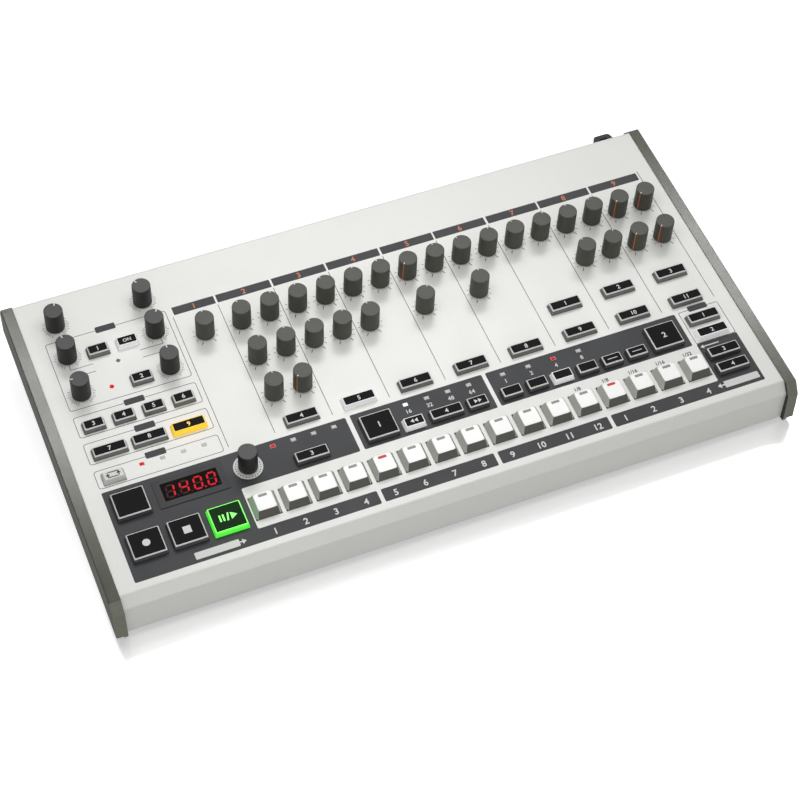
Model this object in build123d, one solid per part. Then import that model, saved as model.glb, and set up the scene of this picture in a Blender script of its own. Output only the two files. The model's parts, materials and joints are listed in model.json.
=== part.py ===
from build123d import *
import os
from math import atan2, cos, degrees, radians, sin

# Drum machine: a bent sheet-metal panel, tilted towards the player, between two moulded cheeks.
# All lengths are millimetres. Places on the panel are measured from its front left corner:
# X to the right, Y to the rear along the panel, Z square out of it.

# Layout across the panel
column_left = 27.1  # left cheek to the first column of big buttons
column_pitch = 27.05  # between the columns of big buttons
small_left = 23.2  # left cheek to the first column of small buttons
small_pitch = 20.6
key_field_gap = 15.4  # last column of big buttons to the field of step keys
key_count = 16
key_pitch = 20.67
channel_count = 8
channel_inset = 35.8  # left end of the key field to the first voice channel
accent_gap = 16.1  # accent knob to the first voice channel
right_column_gap = 14.0  # right end of the key field to the right column of buttons
right_margin = 27.7  # right column of buttons to the right cheek
channel_margin = 11.3  # last voice channel to the right cheek
sync_led_left = 43.3
sync_led_pitch = 14.2

# Layout along the panel, front to rear
front_row = 29.1  # big transport buttons
key_row = 30.7
middle_row = 55.85  # small and wide buttons above the keys
tap_row = 61.5  # big buttons above the keys
encoder_row = 62.7
display_row = 62.3
led_row = 72.3
right_column_rows = (23.35, 36.75, 54.25, 67.55)
sync_row = 85.7
sync_led_row = 89.1
voice_row = 86.2
voice_row_pitch = 24.1
mode_row = 106.0
edit_row = 128.3
knob_row = 111.0  # front row of voice knobs
knob_row_pitch = 32.05
master_row = 155.9  # front row of black knobs
master_row_pitch = 32.0
master_rear_pitch = 28.2
rear_margin = 25.3  # rear row of black knobs to the rear bend
pair_offset = 2.0  # buttons beside the black knobs, in front of the knobs' rows
signal_led_offset = 0.9  # in front of the front row of black knobs

# Panel sheet
panel_tilt = 5.5  # degrees, rear edge up
front_height = 36.2  # desk to the front bend
sheet = 1.2
bend_radius = 1.6  # outside of each bend
bevel_drop = 7.5
front_bevel_run = 6.1
rear_bevel_run = 5.1
skirt_drop = 32.0  # flat to the foot of the front skirt
skirt_run = 7.5  # front bend to the foot of the front skirt
flange_length = 5.0  # at the rear, upright
hole_play = 0.3  # round each button and key
stud_radius = 2.9
stud_inset = 12.0  # from the ends and the rear bend
stud_lead = 14.0  # behind the row of keys

# Cheeks
cheek_thickness = 8.0
cheek_rise = 0.6  # above the flat
cheek_lead = 2.8  # in front of the front bevel
cheek_toe = 3.6  # in front of the skirt, at the bottom
cheek_trail = 1.7  # behind the rear bevel
cheek_drop = 30.3  # flat to the bottom edge
cheek_edge = 0.6  # chamfer round the outer face
rib_thickness = 3.0  # inner rib along the bottom edge
rib_drop = 2.6

# Tray
foot_height = 3.0
foot_radius = 8.0
foot_sides = 16
foot_inset = 26.0
tray_wall = 1.5
lip_height = 12.0
skirt_play = 0.1

# Boards under the panel and behind the sockets
board = 1.6
board_drop = 12.5  # flat to the top of the control board
board_margin = 7.0
main_board_height = 15.4  # desk to its underside
main_board_depth = 72.0
main_board_left = 36.0
main_board_notch = 1.0  # clear of the power switch
post_radius = 3.2

# Knobs
knob_height = 17.8
knob_base_radius = 6.25
knob_top_radius = 5.9
knob_sides = 32  # smooth round caps, drawn with many sides to keep their facets few
knob_gap = 0.5  # above the flat
shaft_radius = 3.0
shaft_sides = 8  # knurled
shaft_seat = 6.0  # length of shaft inside the cap
shaft_play = 0.5  # in the panel's hole
shaft_end_gap = 0.3  # over the body of the potentiometer
pot_size = (9.8, 11.2, 6.8)

# Buttons and keys
small_cap = (14.7, 8.6)
wide_cap = (23.2, 8.6)
big_cap = (22.8, 20.3)
cap_height = 4.0
cap_shoulder = 1.0  # where the sides begin to lean
cap_lean = 1.1
cap_skirt = 3.0  # below the flat
cap_travel = 1.2
key_size = (17.3, 17.6)
key_lean = 2.35
key_height = 6.1
key_skirt = 4.0
key_corner = 1.2
key_travel = 2.0
stem = 3.6
switch_size = (6.0, 6.0)
switch_height = 3.8
switch_gap = 0.3  # under a stem that is pressed home

# Display and LEDs
display_centre = 67.7
display_size = (46.2, 20.6)
display_rise = 0.4
display_flange = 1.0
display_flange_thickness = 1.2
led_size = (2.9, 2.1)
led_rise = 0.2
led_play = 0.1
signal_led_radius = 1.5
signal_led_sides = 8

# Rear sockets, measured from the rear wall's left end or from its right end
jack_count = 5
jack_left = 60.0
jack_pitch = 34.0
jack_size = (16.0, 24.0, 14.0)
jack_bore = 3.3
din_size = (20.0, 14.0, 19.0)
din_recess = 7.5
din_insets = (118.0, 146.0)
usb_size = (12.0, 16.0, 11.0)
usb_mouth = (8.5, 7.8)
usb_inset = 92.0
inlet_size = (10.0, 14.0, 11.0)
inlet_bore = 3.2
inlet_inset = 38.0
socket_depth = 12.0  # of the small sockets' mouths
jack_depth = 21.0
socket_sides = 12  # of each round mouth
socket_play = 0.1  # round a body in the rear wall

# Power rocker
rocker_inset = 64.0
rocker_height = 27.0  # desk to its pivot
rocker_mouth = (11.0, 18.0)
rocker_wall = 1.0
rocker_rim = (1.0, 1.5)  # width beyond the body, thickness
rocker_depth = 9.0  # of the mouth, behind the wall's outside
rocker_pivot_depth = 1.2
rocker_thickness = 6.2
rocker_dip = 1.6  # of the hollow face
rocker_play = (0.3, 0.7)  # beside the rocker, and above and below it
rocker_tilt = 8.0  # degrees, each way

# Cable hook
hook_inset = 14.3
hook_reach = 13.1
hook_base = 19.4
hook_end = 12.4
hook_skew = 0.9  # its end stands off centre
hook_bar = 4.0
hook_thickness = 3.5
hook_pad = (23.0, 2.0, 8.0)
hook_corner = 3.0

# Lines of the layout that follow from the sizes above
key_field_left = column_left + 2 * column_pitch + key_field_gap
key_field_right = key_field_left + key_count * key_pitch
right_column = key_field_right + right_column_gap
panel_width = right_column + right_margin
channel_left = key_field_left + channel_inset
channel_pitch = (panel_width - channel_margin - channel_left) / channel_count
master_rows = (
    master_row,
    master_row + master_row_pitch,
    master_row + master_row_pitch + master_rear_pitch,
)
panel_depth = master_rows[2] + rear_margin
switch_top = -board_drop + switch_height


def desk(y, z):
    """A point of the side view, from along and square to the panel to level and upright."""
    tilt = radians(panel_tilt)
    return (y * cos(tilt) - z * sin(tilt), y * sin(tilt) + z * cos(tilt) + front_height)


def key_line(steps):
    """X of a place on the key grid; 0.5 is the middle of the first key."""
    return key_field_left + steps * key_pitch


def small_line(column):
    return small_left + column * small_pitch


def big_line(column):
    return column_left + column * column_pitch


def voice_line(half_channels):
    """X of a voice knob; each channel holds two, half a channel apart."""
    return channel_left + (half_channels + 0.5) * channel_pitch / 2


# Where the knobs stand: name and place
knobs = {}
for column, side in ((0, "left"), (3, "right")):
    for row, y in zip(("front", "middle", "rear"), master_rows):
        knobs[f"master_knob_{side}_{row}"] = (small_line(column), y)
knobs["accent_knob"] = (channel_left - accent_gap, knob_row + 2 * knob_row_pitch)
for i in range(2 * channel_count):
    knobs[f"voice_knob_rear_{i + 1}"] = (voice_line(i), knob_row + 2 * knob_row_pitch)
for i in (0, 1, 2, 3, 4, 6, 8, 12, 13, 14, 15):
    knobs[f"voice_knob_middle_{i + 1}"] = (voice_line(i), knob_row + knob_row_pitch)
for i in (0, 1):
    knobs[f"voice_knob_front_{i + 1}"] = (voice_line(i), knob_row)
knobs["data_encoder_knob"] = (key_line(0.5), encoder_row)

# Where the buttons stand: group, then place and cap of each
voice_buttons = [(voice_line(2 * i + 0.5), voice_row, wide_cap) for i in range(channel_count)]
voice_buttons += [(voice_line(2 * i + 0.5), voice_row + voice_row_pitch, wide_cap) for i in (5, 6, 7)]
rate_buttons = [(key_line(9.43 + 0.902 * i), middle_row, small_cap) for i in range(6)]
buttons = {
    "transport_buttons": [(big_line(i), front_row, big_cap) for i in range(3)]
    + [(big_line(0), tap_row, big_cap)],
    "mode_buttons": [(big_line(i), mode_row, wide_cap) for i in range(3)]
    + [(small_line(i), edit_row, small_cap) for i in range(4)]
    + [(small_line(i), master_rows[1] - pair_offset, small_cap) for i in (1, 2)]
    + [(small_line(2), master_row - pair_offset, small_cap), (small_line(0), sync_row, small_cap)],
    "voice_buttons": voice_buttons,
    "length_buttons": rate_buttons
    + [
        (key_line(2.52), middle_row, wide_cap),
        (key_line(4.91), tap_row, big_cap),
        (key_line(6.01), middle_row, small_cap),
        (key_line(7.13), middle_row, wide_cap),
        (key_line(8.22), middle_row, small_cap),
        (key_line(15.07), tap_row, big_cap),
    ],
    "track_buttons": [(right_column, y, wide_cap) for y in right_column_rows],
}
keys = [(key_line(i + 0.5), key_row) for i in range(key_count)]
leds = [(sync_led_left + i * sync_led_pitch, sync_led_row) for i in range(4)]
for first, pitch in ((1.49, 0.692), (6.03, 0.74), (9.46, 0.91)):
    leds += [(key_line(first + i * pitch), led_row) for i in range(4)]
signal_led = (small_line(1), master_row - signal_led_offset)


def bent_sheet(outside, thickness, width):
    """A sheet folded along the side view of its outside, running from X = 0 to its width."""
    line = FilletPolyline(*outside, radius=bend_radius)
    section = make_face(line.wire().offset_2d(-thickness, side=Side.RIGHT))
    return extrude(Plane.YZ * section, amount=width)


def side_plate(outline, thickness):
    """A plate with the given side view, running from X = 0 to its thickness."""
    return extrude(Plane.YZ * make_face(Polyline(*outline, close=True)), amount=thickness)


def block(size, x, y, low, high):
    """An upright block of a given plan size about x, y."""
    return Pos(x, y, low) * extrude(Rectangle(*size), amount=high - low)


def panel_holes():
    """Plan of every hole in the flat of the panel."""
    holes = [Pos(x, y) * RegularPolygon(shaft_radius + shaft_play, shaft_sides) for x, y in knobs.values()]
    for group in buttons.values():
        holes += [Pos(x, y) * Rectangle(*(side + 2 * hole_play for side in cap)) for x, y, cap in group]
    holes += [Pos(x, y) * Rectangle(*(side + 2 * hole_play for side in key_size)) for x, y in keys]
    holes += [Pos(x, y) * Rectangle(*(side + 2 * led_play for side in led_size)) for x, y in leds]
    holes.append(Pos(*signal_led) * RegularPolygon(signal_led_radius + led_play, signal_led_sides))
    holes.append(Pos(display_centre, display_row) * Rectangle(*(side + 2 * led_play for side in display_size)))
    return holes


def board_studs():
    """Places of the hexagonal studs that carry the control board."""
    across = (stud_inset, key_line(1.95), key_line(8.62), panel_width - stud_inset)
    along = (key_row + stud_lead, panel_depth - stud_inset)
    return [(x, y) for x in across for y in along]


def top_panel():
    foot = (-skirt_run, -skirt_drop)
    tilt = radians(panel_tilt)
    bevel_end = (panel_depth + rear_bevel_run, -bevel_drop)
    flange_end = (bevel_end[0] - flange_length * sin(tilt), bevel_end[1] - flange_length * cos(tilt))
    outside = (foot, (-front_bevel_run, -bevel_drop), (0, 0), (panel_depth, 0), bevel_end, flange_end)
    body = bent_sheet(outside, sheet, panel_width)
    body -= extrude(Sketch() + panel_holes(), amount=-2 * sheet)
    stud = extrude(RegularPolygon(stud_radius, 6), amount=board_drop - sheet)
    return body + [Pos(x, y, -board_drop) * stud for x, y in board_studs()]


def cheek():
    """The left cheek; its inner face stands at X = 0."""
    front = -front_bevel_run - cheek_lead
    rear = panel_depth + rear_bevel_run + cheek_trail
    outline = (
        (-cheek_lead, cheek_rise),
        (front, -bevel_drop),
        (-skirt_run - cheek_toe, -cheek_drop),
        (rear, -cheek_drop),
        (rear, -bevel_drop),
        (panel_depth + cheek_rise, cheek_rise),
    )
    plate = Pos(-cheek_thickness) * side_plate(outline, cheek_thickness)
    plate = chamfer(plate.faces().sort_by(Axis.X)[0].edges(), cheek_edge)
    rib_front = cheek_edge - skirt_run - cheek_toe
    rib_length = rear - cheek_toe - rib_front
    rib_middle = rib_front + rib_length / 2
    rib = block((rib_thickness, rib_length), -rib_thickness / 2, rib_middle, -cheek_drop - rib_drop, -cheek_drop)
    return plate + rib


def bottom_tray():
    """Floor, front lip, rear wall and side walls, level with the desk."""
    lip = desk(-skirt_run, -skirt_drop)[0] + sheet + skirt_play
    rear, rear_top = tray_rear()
    outside = ((lip, foot_height + lip_height), (lip, foot_height), (rear, foot_height), (rear, rear_top))
    tray = bent_sheet(outside[::-1], tray_wall, panel_width)
    side = (
        (lip + bend_radius, foot_height + tray_wall / 2),
        (rear - tray_wall / 2, foot_height + tray_wall / 2),
        (rear - tray_wall / 2, rear_top),
        desk(panel_depth - rear_bevel_run, -sheet),
        desk(bend_radius, -sheet),
        desk(-front_bevel_run + sheet + skirt_play, -bevel_drop - sheet),
        (lip + bend_radius, foot_height + lip_height),
    )
    tray += side_plate(side, tray_wall)
    tray += Pos(panel_width - tray_wall) * side_plate(side, tray_wall)
    tray -= rear_cutouts()
    post = extrude(RegularPolygon(post_radius, 6), amount=main_board_height - foot_height - tray_wall)
    return tray + [Pos(x, y, foot_height + tray_wall) * post for x, y in main_board_posts()]


def tray_rear():
    """Level place of the rear wall's outside, and its top: it stands inside the panel's flange."""
    y, z = desk(panel_depth + rear_bevel_run, -bevel_drop)
    return y - sheet, z - bend_radius


def main_board_outline():
    """Left, right, front and rear edges."""
    rear = tray_rear()[0] - tray_wall - skirt_play
    return main_board_left, panel_width - hook_inset, rear - main_board_depth, rear


def main_board_posts():
    left, right, front, rear = main_board_outline()
    inset = 2 * post_radius
    return [(x, front + inset) for x in (left + inset, (left + right) / 2, right - inset)]


def sockets():
    """Each rear socket: X, body, plan of its mouth, and the mouth's depth."""
    jack, din, inlet = (RegularPolygon(radius, socket_sides) for radius in (jack_bore, din_recess, inlet_bore))
    kinds = [(jack_left + i * jack_pitch, jack_size, jack, jack_depth) for i in range(jack_count)]
    kinds += [(panel_width - inset, din_size, din, socket_depth) for inset in din_insets]
    kinds.append((panel_width - usb_inset, usb_size, Rectangle(*usb_mouth), socket_depth))
    kinds.append((panel_width - inlet_inset, inlet_size, inlet, socket_depth))
    return kinds


def rear_mouth(x, z, plan, depth):
    """A prism with the given plan, cut into the rear from outside to a depth behind the wall's outside."""
    start = 2 * rocker_rim[1]
    entry = Plane((x, tray_rear()[0] + start, z), x_dir=(1, 0, 0), z_dir=(0, -1, 0))
    return entry * extrude(plan, amount=depth + start)


def rocker_body_size():
    return tuple(side + 2 * rocker_wall for side in rocker_mouth)


def rear_cutouts():
    """Windows in the rear wall, in which the sockets and the rocker's housing sit."""
    base = main_board_height + board
    windows = [(x, base + size[2] / 2, (size[0], size[2])) for x, size, mouth, depth in sockets()]
    windows.append((panel_width - rocker_inset, rocker_height, rocker_body_size()))
    plans = [Rectangle(*(side + 2 * socket_play for side in size)) for x, z, size in windows]
    return [rear_mouth(x, z, plan, 2 * tray_wall) for (x, z, size), plan in zip(windows, plans)]


def rear_sockets():
    """Socket bodies on the main board, flush with the rear wall, and the rocker's housing."""
    base = main_board_height + board
    outside = tray_rear()[0]
    bodies = []
    for x, size, mouth, depth in sockets():
        body = block(size[:2], x, outside - size[1] / 2, base, base + size[2])
        bodies.append(body - rear_mouth(x, base + size[2] / 2, mouth, depth))
    return bodies + [rocker_housing()]


def rocker_housing():
    outside = tray_rear()[0]
    x = panel_width - rocker_inset
    width, height = rocker_body_size()
    rim, rim_thickness = rocker_rim
    low, high = rocker_height - height / 2, rocker_height + height / 2
    depth = rocker_depth + rocker_wall
    housing = block((width, depth), x, outside - depth / 2, low, high)
    housing += block((width + 2 * rim, rim_thickness), x, outside + rim_thickness / 2, low - rim, high + rim)
    return housing - rear_mouth(x, rocker_height, Rectangle(*rocker_mouth), rocker_depth)


def power_rocker():
    """A paddle with a hollow face, lying at one end of its travel."""
    side_play, end_play = rocker_play
    half = rocker_mouth[1] / 2 - end_play
    back = -rocker_thickness / 2
    front = rocker_thickness / 2
    outline = ((back, -half), (front, -half), (front - rocker_dip, 0), (front, half), (back, half))
    width = rocker_mouth[0] - 2 * side_play
    paddle = Pos(-width / 2) * side_plate(outline, width)
    return Pos(*rocker_pivot()) * Rot(rocker_tilt, 0, 0) * paddle


def rocker_pivot():
    return (panel_width - rocker_inset, tray_rear()[0] - rocker_pivot_depth, rocker_height)


def cable_hook():
    """A tapering loop on a pad, screwed to the rear wall under the flange."""
    x = panel_width - hook_inset
    wall = tray_rear()[0]
    top = desk(panel_depth + rear_bevel_run, -bevel_drop)[1] - flange_length - bend_radius / 2
    plan = make_face(
        Polyline(
            (-hook_base / 2, 0),
            (hook_skew - hook_end / 2, hook_reach),
            (hook_skew + hook_end / 2, hook_reach),
            (hook_base / 2, 0),
            close=True,
        )
    )
    eye = offset(plan, -hook_bar, kind=Kind.INTERSECTION)
    outline = fillet(plan.vertices().group_by(Axis.Y)[-1], hook_corner)
    eye += Pos(0, hook_pad[1] - hook_bar) * eye
    loop = extrude(outline - eye, amount=-hook_thickness)
    pad = block(hook_pad[:2], 0, hook_pad[1] / 2, -hook_pad[2], 0)
    return Pos(x, wall, top) * (loop + pad)


def rubber_feet():
    across = (foot_inset, panel_width - foot_inset)
    along = (foot_inset, tray_rear()[0] - foot_inset)
    foot = extrude(RegularPolygon(foot_radius, foot_sides), amount=foot_height)
    return [Pos(x, y) * foot for x in across for y in along]


def main_board():
    """A board notched at its rear edge for the power switch."""
    left, right, front, rear = main_board_outline()
    low, high = main_board_height, main_board_height + board
    plate = block((right - left, rear - front), (left + right) / 2, (front + rear) / 2, low, high)
    notch = (rocker_body_size()[0] + 2 * main_board_notch, 2 * (rocker_depth + rocker_wall + main_board_notch))
    return plate - block(notch, panel_width - rocker_inset, tray_rear()[0], low, high)


def control_board():
    size = (panel_width - 2 * board_margin, panel_depth - 2 * board_margin)
    return block(size, panel_width / 2, panel_depth / 2, -board_drop - board, -board_drop)


def potentiometers():
    return [block(pot_size[:2], x, y, -board_drop, -board_drop + pot_size[2]) for x, y in knobs.values()]


def knob(x, y):
    """A cap pushed on its knurled shaft, which passes the panel and ends over its potentiometer."""
    low = -board_drop + pot_size[2] + shaft_end_gap
    high = knob_gap + shaft_seat
    shaft = Pos(0, 0, low) * extrude(RegularPolygon(shaft_radius, shaft_sides), amount=high - low)
    cap = leaning_prism(
        RegularPolygon(knob_base_radius, knob_sides), knob_height - knob_gap, knob_base_radius - knob_top_radius
    )
    return [Pos(x, y) * (Pos(0, 0, knob_gap) * cap - shaft), Pos(x, y) * shaft]


def leaning_prism(plan, height, lean):
    """A prism whose sides lean in by a given amount over its height."""
    return extrude(plan, amount=height, taper=degrees(atan2(lean, height)))


def pressed_cap(plan, skirt, shoulder, height, lean, travel):
    """A cap with leaning sides over an upright skirt; its stem ends over a switch."""
    cap = Pos(0, 0, -skirt) * extrude(plan, amount=skirt + shoulder)
    cap += Pos(0, 0, shoulder) * leaning_prism(plan, height - shoulder, lean)
    return cap + block((stem, stem), 0, 0, switch_top + switch_gap + travel, -skirt)


def button(x, y, size):
    plan = Rectangle(*size)
    return Pos(x, y) * pressed_cap(plan, cap_skirt, cap_shoulder, cap_height, cap_lean, cap_travel)


def step_key(x, y):
    plan = Rectangle(*key_size)
    plan = chamfer(plan.vertices(), key_corner)
    return Pos(x, y) * pressed_cap(plan, key_skirt, 0, key_height, key_lean, key_travel)


def tact_switches():
    places = keys + [(x, y) for group in buttons.values() for x, y, cap in group]
    return [block(switch_size, x, y, -board_drop, switch_top) for x, y in places]


def display_module():
    """A window plate with a flange under the sheet, and the digit block behind it."""
    place = (display_centre, display_row)
    flange = tuple(side + 2 * display_flange for side in display_size)
    flange_low = -sheet - display_flange_thickness
    window = block(display_size, *place, -sheet, display_rise)
    window += block(flange, *place, flange_low, -sheet)
    return [window, block(display_size, *place, -board_drop, flange_low)]


def led_lenses():
    lenses = [block(led_size, x, y, -board_drop, led_rise) for x, y in leds]
    dome = extrude(RegularPolygon(signal_led_radius, signal_led_sides), amount=board_drop + led_rise)
    return lenses + [Pos(*signal_led, -board_drop) * dome]


# Nodes in panel coordinates
left_cheek = cheek()
panel_nodes = {
    "top_panel": [top_panel()],
    "left_cheek": [left_cheek],
    "right_cheek": [mirror(left_cheek, about=Plane.YZ.offset(panel_width / 2))],
    "control_board": [control_board()],
    "potentiometers": potentiometers(),
    "tact_switches": tact_switches(),
    "display_module": display_module(),
    "led_lenses": led_lenses(),
}
for name, (x, y) in knobs.items():
    panel_nodes[name] = knob(x, y)
for name, group in buttons.items():
    panel_nodes[name] = [button(x, y, cap) for x, y, cap in group]
for first in range(0, key_count, 4):
    name = f"step_keys_{first + 1}_{first + 4}"
    panel_nodes[name] = [step_key(x, y) for x, y in keys[first : first + 4]]

# Nodes level with the desk
desk_nodes = {
    "bottom_tray": [bottom_tray()],
    "rubber_feet": rubber_feet(),
    "main_board": [main_board()],
    "rear_sockets": rear_sockets(),
    "power_rocker": [power_rocker()],
    "cable_hook": [cable_hook()],
}

# The origin is the middle of the overall length and depth, on the desk
cheek_front = min(desk(-front_bevel_run - cheek_lead, -bevel_drop)[0], desk(-skirt_run - cheek_toe, -cheek_drop)[0])
depth_middle = (cheek_front + tray_rear()[0] + hook_reach) / 2
to_origin = Pos(-panel_width / 2, -depth_middle, 0)
onto_desk = to_origin * Pos(0, 0, front_height) * Rot(panel_tilt, 0, 0)

os.makedirs("parts", exist_ok=True)
for place, nodes in ((onto_desk, panel_nodes), (to_origin, desk_nodes)):
    for name, solids in nodes.items():
        placed = [place * solid for solid in solids]
        export_step(placed[0] if len(placed) == 1 else Compound(children=placed), f"parts/{name}.step")
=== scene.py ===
import json
import math

import bmesh
import bpy
from mathutils import Matrix, Vector
from mathutils.geometry import tessellate_polygon


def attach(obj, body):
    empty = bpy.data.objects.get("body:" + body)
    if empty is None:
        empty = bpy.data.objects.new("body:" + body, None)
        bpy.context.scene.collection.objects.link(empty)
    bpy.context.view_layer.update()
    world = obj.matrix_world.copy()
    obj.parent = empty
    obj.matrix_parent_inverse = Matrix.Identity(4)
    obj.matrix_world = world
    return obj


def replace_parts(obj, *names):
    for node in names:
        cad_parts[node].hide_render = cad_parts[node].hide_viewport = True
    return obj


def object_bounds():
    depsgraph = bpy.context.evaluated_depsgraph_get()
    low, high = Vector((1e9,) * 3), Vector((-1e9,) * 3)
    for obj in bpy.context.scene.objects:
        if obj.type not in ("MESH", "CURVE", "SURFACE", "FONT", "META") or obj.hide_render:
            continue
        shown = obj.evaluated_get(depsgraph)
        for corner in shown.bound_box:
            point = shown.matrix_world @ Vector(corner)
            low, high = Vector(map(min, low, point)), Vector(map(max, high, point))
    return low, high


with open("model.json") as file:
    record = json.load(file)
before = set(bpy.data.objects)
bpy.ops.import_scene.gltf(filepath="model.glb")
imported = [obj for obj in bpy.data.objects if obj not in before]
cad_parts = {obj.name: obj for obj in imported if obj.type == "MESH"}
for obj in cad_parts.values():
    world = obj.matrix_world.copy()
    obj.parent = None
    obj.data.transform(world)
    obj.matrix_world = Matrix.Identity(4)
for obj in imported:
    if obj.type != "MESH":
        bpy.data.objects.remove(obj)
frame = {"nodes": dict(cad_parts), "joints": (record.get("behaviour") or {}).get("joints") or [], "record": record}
size_at_load = [list(corner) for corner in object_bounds()]
nodes = frame["nodes"]
joints = {joint["child"]: joint for joint in frame["joints"]}

# Sizes and places are in millimetres on the panel, unless a comment says otherwise: X to the right and Y to
# the rear from the panel's front left corner, and Z out of it.

# ---- frames
FIRST_KNOB = (23.2, 155.9)  # the front left one of the black knobs
WELD = 20000  # steps per metre to which vertices of one solid agree

MM = Matrix.Scale(0.001, 4)


def panel_frame():
    """The panel's coordinates, in metres."""
    first = joints["master_knob_left_front"]
    normal = Vector(first["axis"])
    turn = Matrix.Rotation(math.atan2(-normal.y, normal.z), 4, "X")
    corner = Vector(first["pos_m"]) - turn @ MM @ Vector((*FIRST_KNOB, 0))
    return Matrix.Translation(corner) @ turn


PANEL = panel_frame()
PANEL_MM = PANEL @ MM
FROM_ROW = PANEL_MM.inverted()


def solids(name, to_frame):
    """The separate solids of a CAD node: the polygons of each and its box, in millimetres of a frame."""
    mesh = nodes[name].data
    keys = {}
    roots = []
    place = []

    def root(i):
        while roots[i] != i:
            roots[i] = roots[roots[i]]
            i = roots[i]
        return i

    for vertex in mesh.vertices:
        key = tuple(round(c * WELD) for c in vertex.co)
        if key not in keys:
            keys[key] = len(roots)
            roots.append(keys[key])
        place.append(keys[key])
    for polygon in mesh.polygons:
        first = root(place[polygon.vertices[0]])
        for v in polygon.vertices:
            roots[root(place[v])] = first
    found = {}
    for polygon in mesh.polygons:
        found.setdefault(root(place[polygon.vertices[0]]), []).append(polygon.index)
    result = []
    for polygons in found.values():
        points = [to_frame @ mesh.vertices[v].co for p in polygons for v in mesh.polygons[p].vertices]
        low = Vector(min(p[i] for p in points) for i in range(3))
        high = Vector(max(p[i] for p in points) for i in range(3))
        result.append({"polygons": polygons, "low": low, "high": high, "centre": (low + high) / 2})
    return result


def nearest(group, x, y):
    """The solid whose centre is nearest to a place."""
    return min(group, key=lambda solid: (solid["centre"].xy - Vector((x, y))).length)


# ---- materials
PATCH_SCALE = 40  # of rubbed patches, per metre, as all scales of noise
NOISE_LOW = 0.25
NOISE_HIGH = 0.75
GRAIN_DEPTH = 0.0002  # metres


def linear(colour):
    """Scene-linear red, green and blue of a colour given as 0 to 255."""
    shares = (c / 255 for c in colour)
    return tuple(c / 12.92 if c <= 0.04045 else ((c + 0.055) / 1.055) ** 2.4 for c in shares)


def paint(name, colour, rough=0.5, spread=0.05, scale=700, bump=0.03, fine=2500, glow=0, metal=0, soft=0,
          specular=0.5, wear=0.06):
    """A painted, moulded or metal surface.

    Its colour is mottled by spread at scale, its roughness varies by wear, its grain has the scale fine and
    the strength bump, and soft is the radius of its edges in millimetres.
    """
    material = bpy.data.materials.new(name)
    material.use_nodes = True
    tree = material.node_tree
    add, join = tree.nodes.new, tree.links.new
    shader = tree.nodes["Principled BSDF"]
    place = add("ShaderNodeTexCoord").outputs["Object"]

    def noise(size, detail):
        node = add("ShaderNodeTexNoise")
        node.inputs["Scale"].default_value = size
        node.inputs["Detail"].default_value = detail
        join(place, node.inputs["Vector"])
        return node.outputs["Fac"]

    def spread_over(source, low, high):
        node = add("ShaderNodeMapRange")
        node.inputs["From Min"].default_value = NOISE_LOW
        node.inputs["From Max"].default_value = NOISE_HIGH
        node.inputs["To Min"].default_value = low
        node.inputs["To Max"].default_value = high
        join(source, node.inputs["Value"])
        return node.outputs["Result"]

    base = linear(colour)
    blend = add("ShaderNodeMix")
    blend.data_type = "RGBA"
    blend.inputs["A"].default_value = [c * (1 - spread) for c in base] + [1]
    blend.inputs["B"].default_value = [c * (1 + spread) for c in base] + [1]
    join(spread_over(noise(scale, 4), 0, 1), blend.inputs["Factor"])
    join(blend.outputs["Result"], shader.inputs["Base Color"])
    rubbed = spread_over(noise(PATCH_SCALE, 5), rough * (1 - wear), rough * (1 + wear))
    join(rubbed, shader.inputs["Roughness"])
    shader.inputs["Metallic"].default_value = metal
    shader.inputs["Specular IOR Level"].default_value = specular
    if glow:
        join(blend.outputs["Result"], shader.inputs["Emission Color"])
        shader.inputs["Emission Strength"].default_value = glow
    grain = add("ShaderNodeBump")
    grain.inputs["Strength"].default_value = bump
    grain.inputs["Distance"].default_value = GRAIN_DEPTH
    join(noise(fine, 2), grain.inputs["Height"])
    if soft:
        edge = add("ShaderNodeBevel")
        edge.samples = 4
        edge.inputs["Radius"].default_value = soft / 1000
        join(edge.outputs["Normal"], grain.inputs["Normal"])
    join(grain.outputs["Normal"], shader.inputs["Normal"])
    return material


# Casing
WHITE_PAINT = paint("white_painted_steel", (239, 239, 234), 0.34, 0.012, 500, 0.04, 5200, soft=0.5)
CHEEK = paint("cheek_plastic", (64, 67, 46), 0.19, 0.07, 260, 0.1, 1800, soft=0.5, specular=0.32, wear=0.15)
# A lighter copy of the cheek plastic for the front faces: painted light.
CHEEK_FRONT_PAINTED_LIGHT = paint("cheek_front_painted_light", (122, 124, 110), 0.45, 0.05, 260, 0.15, 1800, soft=0.4, specular=0.3)
# A darker copy of the cheek plastic for the side faces: painted shade.
CHEEK_SIDE_PAINTED_SHADE = paint("cheek_side_painted_shade", (56, 57, 51), 0.6, 0.07, 260, 0.2, 1800, soft=0.5, specular=0.15)
TRAY = paint("tray_steel", (46, 46, 48), 0.5, 0.06, 500, 0.2, 4000, soft=0.3)
RUBBER = paint("rubber_black", (34, 34, 35), 0.8, 0.1, 400, 0.3)
HOOK = paint("hook_black", (15, 15, 16), 0.5, 0.06, 500, 0.08, soft=0.3, specular=0.25)

# Print
DARK_INK = paint("dark_ink", (52, 53, 56), 0.55, 0.03, 900, 0.05, 5200, specular=0.25)
LINE_INK = paint("line_ink", (68, 68, 66), 0.55, 0.05, 900)
TICK_INK = paint("tick_ink", (62, 62, 60), 0.55, 0.05, 900)
PALE_INK = paint("pale_ink", (228, 228, 224), 0.5, 0.02, 900)
ORANGE_INK = paint("orange_ink", (212, 106, 34), 0.5, 0.05, 900)

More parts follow.
